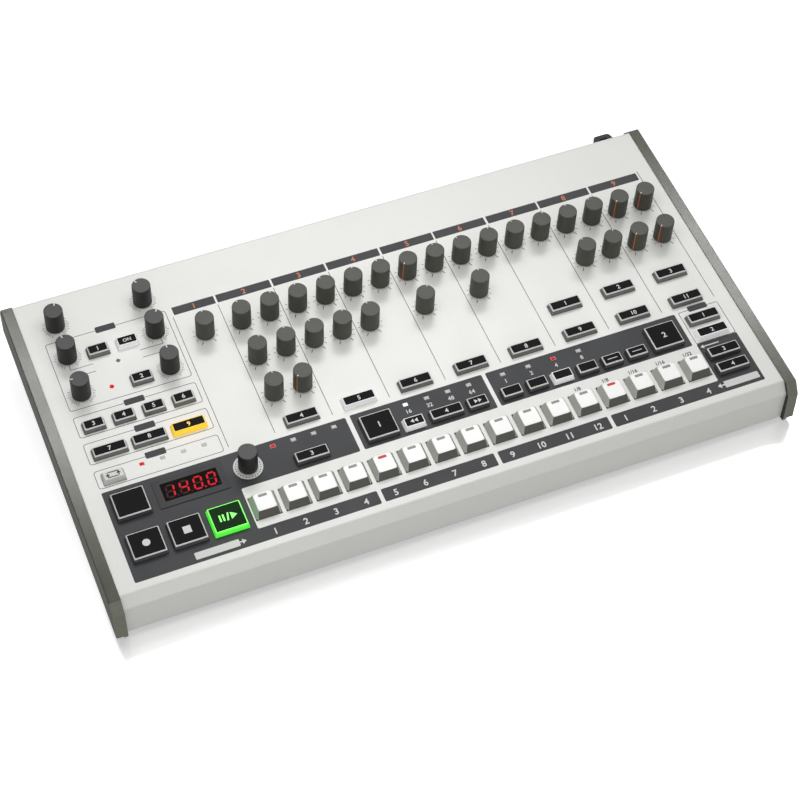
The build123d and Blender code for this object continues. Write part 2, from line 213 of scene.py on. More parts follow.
# Knobs, buttons and keys
KNOB_GREY = paint("knob_grey", (80, 80, 73), 0.45, 0.05, 500, 0.1, 2600, specular=0.2)
KNOB_BLACK = paint("knob_black", (38, 38, 37), 0.45, 0.05, 500, 0.1, 2600, specular=0.3)
CAP_GREY = paint("button_grey", (118, 118, 116), 0.42, 0.05, 500, 0.06, 2600, soft=0.35)
CAP_DARK = paint("button_dark", (72, 72, 74), 0.42, 0.05, 500, 0.06, 2600, soft=0.35)
CAP_PALE = paint("button_pale", (222, 222, 219), 0.42, 0.03, 500, soft=0.35)
CAP_LIT = paint("button_lit_white", (238, 238, 238), 0.4, 0.02, 500, glow=0.25, soft=0.35)
CAP_YELLOW = paint("button_lit_yellow", (244, 204, 46), 0.4, 0.04, 500, glow=0.5, soft=0.35)
CAP_GREEN = paint("button_lit_green", (78, 226, 62), 0.4, 0.06, 500, glow=0.7, soft=0.35)
# Pale rims round the labels: a painted highlight on the caps' edges.
RIM_PAINTED_HIGHLIGHT = paint("label_rim_painted_highlight", (228, 228, 225), 0.4, 0.04, soft=0.3)
LABEL = paint("label_black", (27, 27, 29), 0.5, 0.08, 500, 0.02, specular=0.03)
LABEL_GREEN = paint("label_green", (20, 46, 22), 0.5, 0.08, 500, 0.02, glow=0.3, specular=0.03)
KEY_WHITE = paint("key_white", (251, 251, 248), 0.36, 0.008, 500, soft=0.5, specular=0.8)
KEY_SIDE = paint("key_side", (194, 194, 188), 0.5, 0.04, 500, 0.06, soft=0.4)
# A darker copy of the key side colour for the front faces: painted shade.
KEY_FRONT_PAINTED_SHADE = paint("key_front_painted_shade", (86, 87, 82), 0.5, 0.04, 500, 0.06, soft=0.4)
KEY_WINDOW = paint("key_window", (122, 122, 118), 0.4, 0.04, 500)

# Display and LEDs
WINDOW = paint("window_dark", (16, 5, 6), 0.4, 0.1, 300, 0.01, specular=0.02)
BEZEL = paint("bezel_dark", (46, 46, 49), 0.5, 0.05, 500, specular=0.2)
LENS = paint("lens_milky", (168, 168, 164), 0.3, 0.05, 900)
RED_GLOW = paint("red_glow", (206, 14, 30), 0.5, 0.08, 900, glow=0.45, specular=0.1)
RED_DIM = paint("red_unlit", (58, 14, 16), 0.5, 0.1, 900, specular=0.1)
RED_SOFT = paint("red_soft", (206, 62, 66), 0.5, 0.08, 900, glow=0.15, specular=0.2)
WHITE_GLOW = paint("white_glow", (250, 250, 250), 0.35, 0.02, 900, glow=0.5)
GREEN_GLOW = paint("green_glow", (112, 245, 84), 0.35, 0.05, 900, glow=0.8)

# Inside and rear
BOARD = paint("board_green", (28, 84, 48), 0.35, 0.1, 300)
MOULDED = paint("part_black", (40, 40, 42), 0.45, 0.06, 500, 0.08, soft=0.3)
PLATED = paint("plated_steel", (176, 176, 172), 0.32, 0.05, 300, 0.04, metal=1)
CHROME = paint("bright_plated", (196, 196, 194), 0.22, 0.03, 300, metal=1)

SLOTS = {
    "white_painted_steel": WHITE_PAINT,
    "cheek_plastic": CHEEK,
    "tray_steel": TRAY,
    "rubber_black": RUBBER,
    "board_green": BOARD,
    "part_black": MOULDED,
    "pot_body": PLATED,
    "knob_grey": KNOB_GREY,
    "knob_black": KNOB_BLACK,
    "button_grey": CAP_GREY,
    "key_white": KEY_WHITE,
    "window_dark": WINDOW,
    "lens_milky": LENS,
}


def repaint(name, polygons, material):
    """Gives some faces of a CAD node a material of their own."""
    mesh = nodes[name].data
    index = mesh.materials.find(material.name)
    if index < 0:
        mesh.materials.append(material)
        index = len(mesh.materials) - 1
    for p in polygons:
        mesh.polygons[p].material_index = index


def paint_casing():
    """Every CAD node gets its slot's material; the hook has its own, the cheeks' sides a darker copy of the cheek
    plastic as painted shade, and their fronts a lighter copy as painted light.
    """
    for entry in frame["record"]["subparts"]:
        mesh = nodes[entry["node"]].data
        mesh.materials.clear()
        mesh.materials.append(SLOTS[entry["material_slot"]])
    repaint("cable_hook", range(len(nodes["cable_hook"].data.polygons)), HOOK)
    for name in ("left_cheek", "right_cheek"):
        polygons = nodes[name].data.polygons
        # Side faces get painted shade, front faces painted light.
        repaint(name, [p.index for p in polygons if abs(p.normal.x) > 0.9], CHEEK_SIDE_PAINTED_SHADE)
        repaint(name, [p.index for p in polygons if p.normal.y < -0.3], CHEEK_FRONT_PAINTED_LIGHT)


paint_casing()


# ---- outlines
def box(x0, y0, x1, y1):
    return [(x0, y0), (x1, y0), (x1, y1), (x0, y1)]


def half_box(x, y, half):
    """A box about a place, with half its width and depth."""
    return box(x - half[0], y - half[1], x + half[0], y + half[1])


def rounded(points, radius, steps=4):
    """A closed outline with its corners rounded."""
    outline = []
    for i, here in enumerate(points):
        here, before, after = Vector(here), Vector(points[i - 1]), Vector(points[(i + 1) % len(points)])
        start = here + (before - here).normalized() * radius
        end = here + (after - here).normalized() * radius
        for k in range(steps + 1):
            t = k / steps
            outline.append(tuple(start.lerp(here, t).lerp(here.lerp(end, t), t)))
    return outline


def circle(x, y, radius, sides=32):
    turn = 2 * math.pi / sides
    return [(x + radius * math.cos(i * turn), y + radius * math.sin(i * turn)) for i in range(sides)]


def bar(x0, y0, x1, y1, width):
    """The outline of a straight line of some width."""
    along = (Vector((x1, y1)) - Vector((x0, y0))).normalized() * width / 2
    off = Vector((-along.y, along.x))
    start, end = Vector((x0, y0)), Vector((x1, y1))
    return [tuple(corner) for corner in (start - off, end - off, end + off, start + off)]


def arrow(tail, neck, tip, y, shaft, head):
    """An arrow along X, with half the width of its shaft and of its head."""
    front = [(tail, y - shaft), (neck, y - shaft), (neck, y - head)]
    return front + [(tip, y)] + [(x, 2 * y - off) for x, off in front[::-1]]


def inside(outline, x, y):
    """Is a place within an outline?"""
    within = False
    for i in range(len(outline)):
        (x0, y0), (x1, y1) = outline[i - 1], outline[i]
        if (y0 > y) != (y1 > y) and x < (x1 - x0) * (y - y0) / (y1 - y0) + x0:
            within = not within
    return within


def within_solid(solid, inset, radius, steps=4):
    """A rounded outline inside a solid's footprint."""
    low, high = solid["low"], solid["high"]
    return rounded(box(low.x + inset, low.y + inset, high.x - inset, high.y - inset), radius, steps)


# ---- shapes
CAP_HEIGHT_SHARE = 0.72  # of a figure's height in the size of its type
SHARP = math.radians(40)  # edges above this angle stay sharp


def over(top, levels):
    """Foot and top of a slab on a face."""
    return top + levels[0], top + levels[1]


class Shape:
    """A mesh built up from slabs, blocks and turned forms, in millimetres of one frame."""

    def __init__(self):
        self.mesh = bmesh.new()

    def face(self, corners, material=0):
        made = self.mesh.faces.new(corners)
        made.material_index = material
        return made

    def loop(self, points):
        return [self.mesh.verts.new(point) for point in points]

    def wall(self, first, second, material=0):
        """Faces between two loops of vertices."""
        for i in range(len(first)):
            self.face((first[i - 1], first[i], second[i], second[i - 1]), material)

    def slab(self, outline, low, high, material=0, holes=()):
        """A flat plate with holes."""
        outlines = [list(outline), *[list(hole) for hole in holes]]
        bottom, top = ([self.loop((x, y, z) for x, y in points) for points in outlines] for z in (low, high))
        triangles = tessellate_polygon([[Vector((x, y, 0)) for x, y in points] for points in outlines])
        for level, turn in ((bottom, -1), (top, 1)):
            flat = [v for loop in level for v in loop]
            for corners in triangles:
                a, b, c = (flat[i] for i in corners)
                up = (b.co - a.co).cross(c.co - a.co).z
                self.face((a, b, c) if up * turn > 0 else (c, b, a), material)
        for first, last in zip(bottom, top):
            self.wall(first, last, material)

    def ring(self, outer, inner, low, high, material=0):
        self.slab(outer, low, high, material, [inner])

    def block(self, bottom, top, material=0):
        """A solid between two outlines of points in space."""
        first, last = self.loop(bottom), self.loop(top)
        self.face(first[::-1], material)
        self.face(last, material)
        self.wall(first, last, material)

    def band(self, loops, material=0):
        """A closed collar through several loops of points, the last joined to the first."""
        made = [self.loop(points) for points in loops]
        for here, after in zip(made, made[1:] + made[:1]):
            self.wall(here, after, material)

    def turned(self, profile, place, sides=24, material=0):
        """A form turned about an axis; the profile holds radius and height, from the axis to the axis."""
        rings = []
        for radius, height in profile:
            if radius == 0:
                rings.append(self.loop([place @ Vector((0, 0, height))]) * sides)
            else:
                rim = circle(0, 0, radius, sides)
                rings.append(self.loop(place @ Vector((x, y, height)) for x, y in rim))
        for first, second in zip(rings, rings[1:]):
            for i in range(sides):
                corners = []
                for v in (first[i - 1], first[i], second[i], second[i - 1]):
                    if v not in corners:
                        corners.append(v)
                if len(corners) > 2:
                    self.face(corners, material).smooth = True

    def figures(self, text, x, y, height, low, high, material=0, bold=0.02):
        """Plain figures, centred on a place; bold thickens them by a share of their size."""
        curve = bpy.data.curves.new("figures", "FONT")
        curve.body = text
        curve.size = height / CAP_HEIGHT_SHARE
        curve.align_x = "CENTER"
        curve.resolution_u = 3
        curve.extrude = (high - low) / 2
        curve.offset = bold * curve.size
        holder = bpy.data.objects.new("figures", curve)
        bpy.context.scene.collection.objects.link(holder)
        mesh = holder.evaluated_get(bpy.context.evaluated_depsgraph_get()).to_mesh()
        mesh.transform(Matrix.Translation((x, y - height / 2, (low + high) / 2)))
        known = set(self.mesh.faces)
        self.mesh.from_mesh(mesh)
        for made in self.mesh.faces:
            if made not in known:
                made.material_index = material
        bpy.data.objects.remove(holder)
        bpy.data.curves.remove(curve)

    def make(self, name, body, materials, to_row=PANEL_MM, slot=None):
        """The finished piece, which moves with a body."""
        bmesh.ops.recalc_face_normals(self.mesh, faces=self.mesh.faces)
        mesh = bpy.data.meshes.new(name)
        self.mesh.to_mesh(mesh)
        self.mesh.free()
        mesh.transform(to_row)
        for material in materials:
            mesh.materials.append(material)
        mesh.set_sharp_from_angle(angle=SHARP)
        piece = bpy.data.objects.new(name, mesh)
        bpy.context.scene.collection.objects.link(piece)
        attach(piece, body)
        return piece


# ---- what the CAD holds
BUTTON_GROUPS = ("transport_buttons", "mode_buttons", "voice_buttons", "length_buttons", "track_buttons")
KEY_GROUPS = [name for name in nodes if name.startswith("step_keys")]
KNOBS = [name for name in nodes if "knob" in name]
ENCODER = "data_encoder_knob"
LED_ROW = 72.3  # the LEDs above the buttons

caps = {name: solids(name, FROM_ROW) for name in BUTTON_GROUPS}
keys = {name: solids(name, FROM_ROW) for name in KEY_GROUPS}
lenses = solids("led_lenses", FROM_ROW)
knob_at = {name: FROM_ROW @ Vector(joints[name]["pos_m"]) for name in KNOBS}
key_x = sorted(key["centre"].x for group in keys.values() for key in group)

# ---- printed zones
PRINT = (-0.02, 0.06)  # foot and top of the print, whose foot lies in the paint
TAG_PRINT = (-0.01, 0.07)  # of what is printed over a line
OVERPRINT = (0.04, 0.11)  # of pale figures over a zone
ORANGE_PRINT = (0.04, 0.1)
PLATE_PRINT = (0.05, 0.11)  # of pale plates and arrows
RING_PRINT = (0.06, 0.11)  # of the encoder's ring

PLAY = 0.3  # between a zone and what comes up through it
SHAFT_HOLE = 3.6  # radius
DISPLAY_HOLE = box(44.2, 51.6, 91.2, 73.0)

LEFT_ZONE = [(11.9, 5.6), (178.0, 5.6), (178.0, 15.9), (97.0, 15.9), (97.0, 48.2), (179.8, 48.2),
             (179.8, 76.6), (11.9, 76.6)]
LENGTH_ZONE = box(183.0, 48.3, 278.3, 77.1)
RATE_ZONE = box(281.1, 48.6, 424.2, 77.2)
RIGHT_ZONE = [(346.0, 5.9), (457.8, 5.9), (457.8, 48.5), (427.0, 48.5), (427.0, 15.9), (346.0, 15.9)]
STRIP_5_TO_8 = box(180.8, 5.9, 260.5, 15.9)
STRIP_9_TO_12 = box(263.3, 5.9, 343.3, 15.9)
ZONES = [rounded(corners, 1.2) for corners in (LEFT_ZONE, LENGTH_ZONE, RATE_ZONE)]
ZONES += [rounded(corners, 1.0) for corners in (RIGHT_ZONE, STRIP_5_TO_8, STRIP_9_TO_12)]

CHANNELS = 8
CHANNEL_LINE = 132.4  # the line left of the first channel
CHANNEL_PITCH = 40.665
HEADERS = (  # left and right of each
    (101.5, 131.6), (133.1, 172.4), (173.9, 213.0), (214.4, 253.4), (255.0, 294.4), (295.6, 334.8),
    (336.5, 375.6), (376.9, 416.1), (417.6, 456.0),
)
HEADER_FRONT = 197.2
HEADER_REAR = 204.0


def zone_holes(outline):
    """Openings that a printed zone leaves round what comes up through it."""
    standing = [solid for group in (*caps.values(), *keys.values(), lenses) for solid in group]
    holes = []
    for solid in standing:
        if inside(outline, *solid["centre"].xy):
            low, high = solid["low"], solid["high"]
            holes.append(box(low.x - PLAY, low.y - PLAY, high.x + PLAY, high.y + PLAY))
    window = max(solids("display_module", FROM_ROW), key=lambda solid: solid["high"].z)
    if inside(outline, *window["centre"].xy):
        holes.append(DISPLAY_HOLE)
    for place in knob_at.values():
        if inside(outline, place.x, place.y):
            holes.append(circle(place.x, place.y, SHAFT_HOLE, 12))
    return holes


def printed_zones():
    zones = Shape()
    for outline in ZONES:
        zones.slab(outline, *PRINT, 0, zone_holes(outline))
    for left, right in HEADERS:
        zones.slab(rounded(box(left, HEADER_FRONT, right, HEADER_REAR), 0.5), *PRINT)
    zones.make("printed_zones", "housing", [DARK_INK])


# ---- printed lines
LINE_WIDTH = 0.42
LINE_FRONT = 81.6
LINE_REAR = 195.8
LAST_LINE_REAR = 205.0
ACCENT_LINE = 100.2

FRAME_WIDTH = 0.4
FRAME_LEFT = 11.8
FRAME_RIGHT = 96.7
FRAME_ROWS = ((144.6, 203.4), (121.9, 139.2), (99.4, 116.7), (79.6, 93.9))  # front and rear of each
TAG_LEFT = 47.2
TAG_RIGHT = 61.2
TAG_ROWS = ((200.9, 206.0), (136.7, 141.5), (114.2, 119.3), (91.6, 96.6))
TAG_ROUNDING = 1.2
TRACK_FRAME = (427.2, 48.6, 457.6, 77.3)
TRACK_TAG = (435.0, 75.3, 449.5, 80.0)

BRACKET_ENDS = ((38.0, 22.0), (70.5, 87.0))  # inner end and corner
BRACKET_REAR = 177.0
BRACKET_FRONT = 171.0
BRACKET_LEG = 6.0
DIAMOND = (54.2, 174.0)
DIAMOND_HALF = 1.8


def frame_line(lines, left, front, right, rear, rounding):
    """A thin rounded frame."""
    outer = rounded(box(left, front, right, rear), rounding)
    w = FRAME_WIDTH
    lines.ring(outer, rounded(box(left + w, front + w, right - w, rear - w), rounding - 0.3), *PRINT)


def bracket(inner, outer, y, leg):
    """A thin line from one place to another, with a leg at its end."""
    x1 = outer + math.copysign(FRAME_WIDTH, inner - outer)
    y1 = y + math.copysign(FRAME_WIDTH, leg)
    return rounded([(inner, y), (outer, y), (outer, y + leg), (x1, y + leg), (x1, y1), (inner, y1)], 0.15)


def printed_lines():
    lines = Shape()
    for k in range(CHANNELS + 1):
        x = CHANNEL_LINE + CHANNEL_PITCH * k
        lines.slab(bar(x, LINE_FRONT, x, LAST_LINE_REAR if k == CHANNELS else LINE_REAR, LINE_WIDTH), *PRINT)
    lines.slab(bar(ACCENT_LINE, LINE_FRONT, ACCENT_LINE, LINE_REAR, LINE_WIDTH), *PRINT)
    for front, rear in FRAME_ROWS:
        frame_line(lines, FRAME_LEFT, front, FRAME_RIGHT, rear, 2.2)
    for front, rear in TAG_ROWS:
        lines.slab(rounded(box(TAG_LEFT, front, TAG_RIGHT, rear), TAG_ROUNDING), *TAG_PRINT, 1)
    for inner, outer in BRACKET_ENDS:
        lines.slab(bracket(inner, outer, BRACKET_REAR, BRACKET_LEG), *PRINT)
        lines.slab(bracket(inner, outer, BRACKET_FRONT, -BRACKET_LEG), *PRINT)
    lines.slab(circle(*DIAMOND, DIAMOND_HALF, 4), *PRINT)
    frame_line(lines, *TRACK_FRAME, 1.4)
    lines.slab(rounded(box(*TRACK_TAG), TAG_ROUNDING), *TAG_PRINT, 1)
    lines.make("printed_lines", "housing", [LINE_INK, DARK_INK])


# ---- ticks round the knobs
TURN = 150  # degrees each way from the rear
TICK_START = 7.3  # radius
FINE_TICKS = 31  # round a black knob
FINE_ENDS = (9.7, 9.0)  # radius of every third one and of the others
FINE_WIDTH = 0.26
COARSE_TICKS = 11  # round a grey knob
COARSE_ENDS = (10.0, 8.8)  # radius of the first and last and of the others
COARSE_WIDTHS = (0.5, 0.32)


def printed_ticks():
    ticks = Shape()
    for name in KNOBS:
        if name == ENCODER:
            continue
        x, y, z = knob_at[name]
        black = name.startswith("master")
        count = FINE_TICKS if black else COARSE_TICKS
        for i in range(count):
            angle = math.radians(-TURN + 2 * TURN * i / (count - 1))
            short = i % 3 != 0 if black else i not in (0, count - 1)
            end = (FINE_ENDS if black else COARSE_ENDS)[short]
            width = FINE_WIDTH if black else COARSE_WIDTHS[short]
            s, c = math.sin(angle), math.cos(angle)
            line = bar(x + TICK_START * s, y + TICK_START * c, x + end * s, y + end * c, width)
            ticks.slab(line, *PRINT)
    ticks.make("printed_ticks", "housing", [TICK_INK])


# ---- pale and coloured print
ENCODER_RING = 9.8  # radius
ENCODER_HOLE = 4.0
ENCODER_DOTS = 26
DOT_RING = 8.35
DOT = 0.42

KEYS_PER_BAR = 12  # after which the numbers start again
KEY_FIGURE_Y = 10.6
KEY_FIGURE = 4.7  # height, as of all figures
LED_FIGURE_Y = 66.5
LED_FIGURE = 3.1
LED_FIGURES = ((221.2, "16"), (236.4, "32"), (251.9, "48"), (267.1, "64"),
               (292.1, "1"), (311.0, "2"), (329.4, "4"), (348.5, "8"))
FRACTIONS = ("1/8", "1/8", "1/16", "1/16", "1/32")  # above the last keys
FRACTION_Y = 43.3
FRACTION = 2.8
HEADER_FIGURE_Y = 200.6
HEADER_FIGURE = 4.3

LEFT_NAME = (53.0, 8.0, 82.7, 13.2)  # bare pale plates, each with an arrow
LEFT_ARROW = (82.7, 84.6, 87.3, 10.6, 0.5, 2.0)
RIGHT_NAME = (429.6, 8.7, 455.6, 14.0)
RIGHT_ARROW = (429.6, 427.2, 424.5, 11.4, 0.5, 2.0)
TRACK_ARROW = (442.5, 431.0, 428.5, 45.3, 0.4, 1.6)


def printed_pale_marks():
    """The encoder's dotted ring, the figures of keys and LEDs, plates and arrows."""
    pale = Shape()
    x, y, z = knob_at[ENCODER]
    dots = []
    for i in range(ENCODER_DOTS):
        angle = 2 * math.pi * i / ENCODER_DOTS
        dots.append(circle(x + DOT_RING * math.sin(angle), y + DOT_RING * math.cos(angle), DOT, 8))
    pale.slab(circle(x, y, ENCODER_RING, 64), *RING_PRINT, 0, [circle(x, y, ENCODER_HOLE, 32), *dots])
    for i, at in enumerate(key_x):
        pale.figures(str(i % KEYS_PER_BAR + 1), at, KEY_FIGURE_Y, KEY_FIGURE, *OVERPRINT)
    for at, text in LED_FIGURES:
        pale.figures(text, at, LED_FIGURE_Y, LED_FIGURE, *OVERPRINT)
    for plate in (LEFT_NAME, RIGHT_NAME):
        pale.slab(rounded(box(*plate), 0.8), *PLATE_PRINT)
    for sizes in (LEFT_ARROW, RIGHT_ARROW, TRACK_ARROW):
        pale.slab(arrow(*sizes), *PLATE_PRINT)
    pale.make("printed_pale_marks", "housing", [PALE_INK])


def printed_small_figures():
    """Fractions above the last keys."""
    small = Shape()
    for at, text in zip(key_x[-len(FRACTIONS):], FRACTIONS):
        small.figures(text, at, FRACTION_Y, FRACTION, *PRINT)
    small.make("printed_small_figures", "housing", [DARK_INK])


def printed_orange_figures():
    """Numbers in the headers."""
    orange = Shape()
    for i, (left, right) in enumerate(HEADERS):
        orange.figures(str(i + 1), (left + right) / 2, HEADER_FIGURE_Y, HEADER_FIGURE, *ORANGE_PRINT)
    orange.make("printed_orange_figures", "housing", [ORANGE_INK])


printed_zones()
printed_lines()
printed_ticks()
printed_pale_marks()
printed_small_figures()
printed_orange_figures()

# ---- knobs
KNOB_FOOT = 6.6  # radius at the foot
KNOB_TOP = 6.45  # radius at the top
KNOB_GAP = 0.5  # from the panel to the foot
KNOB_HEIGHT = 17.8  # from the panel to the top
KNOB_EDGE = 0.4  # rounding of the top's edge
EDGE_STEPS = 4
SHAFT = 3.0  # radius
KNOB_SIDES = 48

POINTER_RISE = 0.06  # above the cap
NOTCH_SINK = 0.2
NOTCH_DROP = 2.8  # down the side of a black cap
LINE_HALF = 0.34  # half the width of the line down the side
# The grey caps' notch is pale: a painted highlight on their orange mark.
GREY_NOTCH = (5.0, 0.36)  # radius where it starts, and half its width
BLACK_NOTCH = (4.1, 0.42)


def cap_radius(height):
    return KNOB_FOOT - (KNOB_FOOT - KNOB_TOP) * (height - KNOB_GAP) / (KNOB_HEIGHT - KNOB_GAP)


def knob_profile(shaft_end):
    """Radius and height from the middle of the top, down the side and in to the end of the shaft."""
    profile = [(0, KNOB_HEIGHT), (KNOB_TOP - 3 * KNOB_EDGE, KNOB_HEIGHT)]
    for i in range(EDGE_STEPS + 1):
        turn = math.pi / 2 * i / EDGE_STEPS
        radius = KNOB_TOP - KNOB_EDGE * (1 - math.sin(turn))
        profile.append((radius, KNOB_HEIGHT - KNOB_EDGE * (1 - math.cos(turn))))
    for height in (KNOB_HEIGHT - 3 * KNOB_EDGE, KNOB_GAP + 3 * KNOB_EDGE, KNOB_GAP + KNOB_EDGE):
        profile.append((cap_radius(height), height))
    profile += [(KNOB_FOOT - KNOB_EDGE, KNOB_GAP), (SHAFT, KNOB_GAP), (SHAFT, shaft_end), (0, shaft_end)]
    return profile


def knob_cap(name, black):
    """A turned cap on its shaft, in place of the many-sided one of the CAD."""
    x, y, z = knob_at[name]
    shaft_end = min(solid["low"].z for solid in solids(name, FROM_ROW))
    cap = Shape()
    cap.turned(knob_profile(shaft_end), Matrix.Translation((x, y, 0)), KNOB_SIDES)
    finish = KNOB_BLACK if black else KNOB_GREY
    slot = "knob_black" if black else "knob_grey"
    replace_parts(cap.make(f"{name}_cap", name, [finish], slot=slot), name)


def knob_pointer(name, black):
    """A notch at the edge of the top; it goes on down the side of the cap, in orange on a grey one, whose notch on
    the top is pale as a painted highlight on the orange mark.
    """
    x, y, z = knob_at[name]
    clock = math.radians(sum(joints[name]["range_deg"]) / 2)
    outward = Vector((math.sin(clock), math.cos(clock), 0))
    sideways = Vector((outward.y, -outward.x, 0))
    pointer = Shape()

    def plate(inner, outer, low, high, half, material):
        """A plate between two radii, each given as a function of the height."""
        ends = []
        for height in (low, high):
            centre = Vector((x, y, height))
            near, far = centre + outward * inner(height), centre + outward * outer(height)
            off = sideways * half
            ends.append([near - off, far - off, far + off, near + off])
        pointer.block(*ends, material)

    start, half = BLACK_NOTCH if black else GREY_NOTCH
    plate(lambda height: start, lambda height: KNOB_TOP - KNOB_EDGE / 2, KNOB_HEIGHT - NOTCH_SINK,
          KNOB_HEIGHT + POINTER_RISE, half, 0)
    foot = KNOB_HEIGHT - NOTCH_DROP if black else KNOB_GAP + NOTCH_SINK
    plate(lambda height: cap_radius(height) - 0.5, lambda height: cap_radius(height) + POINTER_RISE, foot,
          KNOB_HEIGHT - KNOB_EDGE / 2, LINE_HALF, 0 if black else 1)
    pointer.make(f"{name}_pointer", name, [PALE_INK, ORANGE_INK])


for name in KNOBS:
    black = name.startswith("master") or name == ENCODER
    knob_cap(name, black)
    if "range_deg" in joints[name]:
        knob_pointer(name, black)

# ---- buttons
# Caps that are lit or pale, by group and place to the nearest millimetre
SPECIAL_CAPS = {
    ("mode_buttons", 64, 186): CAP_LIT,
    ("mode_buttons", 81, 106): CAP_YELLOW,
    ("mode_buttons", 23, 86): CAP_PALE,
    ("transport_buttons", 81, 29): CAP_GREEN,
    ("voice_buttons", 193, 86): CAP_LIT,
    ("length_buttons", 221, 56): CAP_LIT,
    ("length_buttons", 329, 56): CAP_LIT,
    ("track_buttons", 441, 54): CAP_LIT,
}
ON_BUTTON = ("mode_buttons", 64, 186)
NUMBERED_LENGTHS = (149, 198, 244, 408)  # X of the length buttons that have a number

LABEL_INSET = 0.9  # from a cap's edge to its label's rim
LABEL_ROUNDING = 0.6
# Section of the rim: distance outside the inset, and height over the cap
RIM_SECTION = ((0.46, -0.6), (0.2, 0.0), (0.0, 0.14), (-0.34, 0.14), (-0.34, -0.2))
PLATE_INSET = 0.29  # from the rim to the plate within it
PLATE = (-0.05, 0.1)  # foot and top of a label's plate over the cap
MARK = (0.08, 0.16)  # of a figure or a sign on a label
BIG_CAP = 15.0  # depth above which a cap is a big one
BIG_FIGURE = 4.4
SMALL_FIGURE = 3.3
WORD = 2.7

LABEL_MATERIALS = [RIM_PAINTED_HIGHLIGHT, LABEL, CAP_LIT, CAP_YELLOW, GREEN_GLOW, PALE_INK, LABEL_GREEN]
# Unlit caps get the pale rim of painted highlight, lit ones their own glow.
RIM_OF = {None: RIM_PAINTED_HIGHLIGHT, CAP_LIT: CAP_LIT, CAP_YELLOW: CAP_YELLOW, CAP_GREEN: GREEN_GLOW}


def reading_order(cap):
    return -round(cap["centre"].y / 3), cap["centre"].x


def cap_key(name, cap):
    return name, round(cap["centre"].x), round(cap["centre"].y)


def text_on(key, number):
    """The plain figure on a button, or nothing where it is bare or has a sign."""
    name, x, y = key
    if name == "transport_buttons" or (name == "length_buttons" and x not in NUMBERED_LENGTHS):
        return ""
    return "ON" if key == ON_BUTTON else str(number)


def button_label(labels, cap, special, text):
    """A raised rim round a plate, with a figure; on an unlit cap the rim is pale, a painted highlight on the cap's
    edge.
    """
    top = cap["high"].z
    rim = LABEL_MATERIALS.index(RIM_OF[special])
    plate = LABEL_MATERIALS.index(LABEL_GREEN if special is CAP_GREEN else LABEL)
    loops = []
    for margin, rise in RIM_SECTION:
        outline = within_solid(cap, LABEL_INSET - margin, LABEL_ROUNDING)
        loops.append([(x, y, top + rise) for x, y in outline])
    labels.band(loops, rim)
    labels.slab(within_solid(cap, LABEL_INSET + PLATE_INSET, LABEL_ROUNDING), *over(top, PLATE), plate)
    if text:
        big = cap["high"].y - cap["low"].y > BIG_CAP
        height = BIG_FIGURE if big else SMALL_FIGURE if text.isdigit() else WORD
        ink = LABEL_MATERIALS.index(CAP_YELLOW if special is CAP_YELLOW else PALE_INK)
        labels.figures(text, *cap["centre"].xy, height, *over(top, MARK), ink)


def button_group(name):
    """Paints a group's caps and gives them their labels, numbered in reading order."""
    labels = Shape()
    count = 0
    for cap in sorted(caps[name], key=reading_order):
        key = cap_key(name, cap)
        special = SPECIAL_CAPS.get(key)
        dark = any(inside(outline, *cap["centre"].xy) for outline in ZONES)
        repaint(name, cap["polygons"], special or (CAP_DARK if dark else CAP_GREY))
        if special is not CAP_PALE:
            text = text_on(key, count + 1)
            count += text.isdigit()
            button_label(labels, cap, special, text)
    labels.make(f"{name}_labels", name, LABEL_MATERIALS)


for name in BUTTON_GROUPS:
    button_group(name)

# ---- signs on the buttons
TRANSPORT_MARK = (0.05, 0.16)  # foot and top of a sign over the cap
TRANSPORT_Y = 29.1
RECORD_X = 27.1
STOP_X = 54.15
PLAY_X = 81.2
RECORD_DOT = 2.6  # radius
STOP_SQUARE = box(-2.65, -2.65, 2.65, 2.65)
PAUSE_BARS = (box(-5.6, -2.5, -4.4, 2.5), box(-3.3, -2.5, -2.1, 2.5))
SLASH = [(-1.0, -2.9), (0.1, -2.9), (1.3, 2.9), (0.2, 2.9)]
PLAY_TRIANGLE = [(2.2, -2.7), (6.4, 0.0), (2.2, 2.7)]

LENGTH_Y = 55.9
BACK_X = 220.8
FORWARD_X = 266.5
DASH_XS = (366.1, 384.7)
DASH_HALF = 3.6
DASH_WIDTH = 0.5
ARROWHEAD_STARTS = (-2.4, 0.4)
ARROWHEAD = [(0.0, -1.6), (0.0, 1.6), (2.4, 0.0)]

SYNC_BUTTON = (23.2, 85.7)
LOOP_MARK = (0.0, 0.12)
LOOP_BARS = ((-3.9, -1.9, 3.0, -1.9), (3.6, -1.9, 3.6, -0.2))  # one half of the loop
LOOP_WIDTH = 0.6
LOOP_HEAD = [(2.2, -0.3), (5.0, -0.3), (3.6, 1.9)]


def top_of(name, x, y):
    """The centre of the top of the cap nearest to a place."""
    cap = nearest(caps[name], x, y)
    return cap["centre"].x, cap["centre"].y, cap["high"].z


def shifted(points, x, y, turn=1, flip=1):
    """Points about a place, mirrored where turn or flip is -1."""
    return [(x + turn * a, y + flip * b) for a, b in points]


def transport_signs():
    signs = Shape()
    x, y, top = top_of("transport_buttons", RECORD_X, TRANSPORT_Y)
    signs.slab(circle(x, y, RECORD_DOT, 32), *over(top, TRANSPORT_MARK))
    x, y, top = top_of("transport_buttons", STOP_X, TRANSPORT_Y)
    signs.slab(shifted(STOP_SQUARE, x, y), *over(top, TRANSPORT_MARK))
    x, y, top = top_of("transport_buttons", PLAY_X, TRANSPORT_Y)
    for outline in (*PAUSE_BARS, SLASH, PLAY_TRIANGLE):
        signs.slab(shifted(outline, x, y), *over(top, TRANSPORT_MARK), 1)
    signs.make("transport_buttons_signs", "transport_buttons", [PALE_INK, GREEN_GLOW])


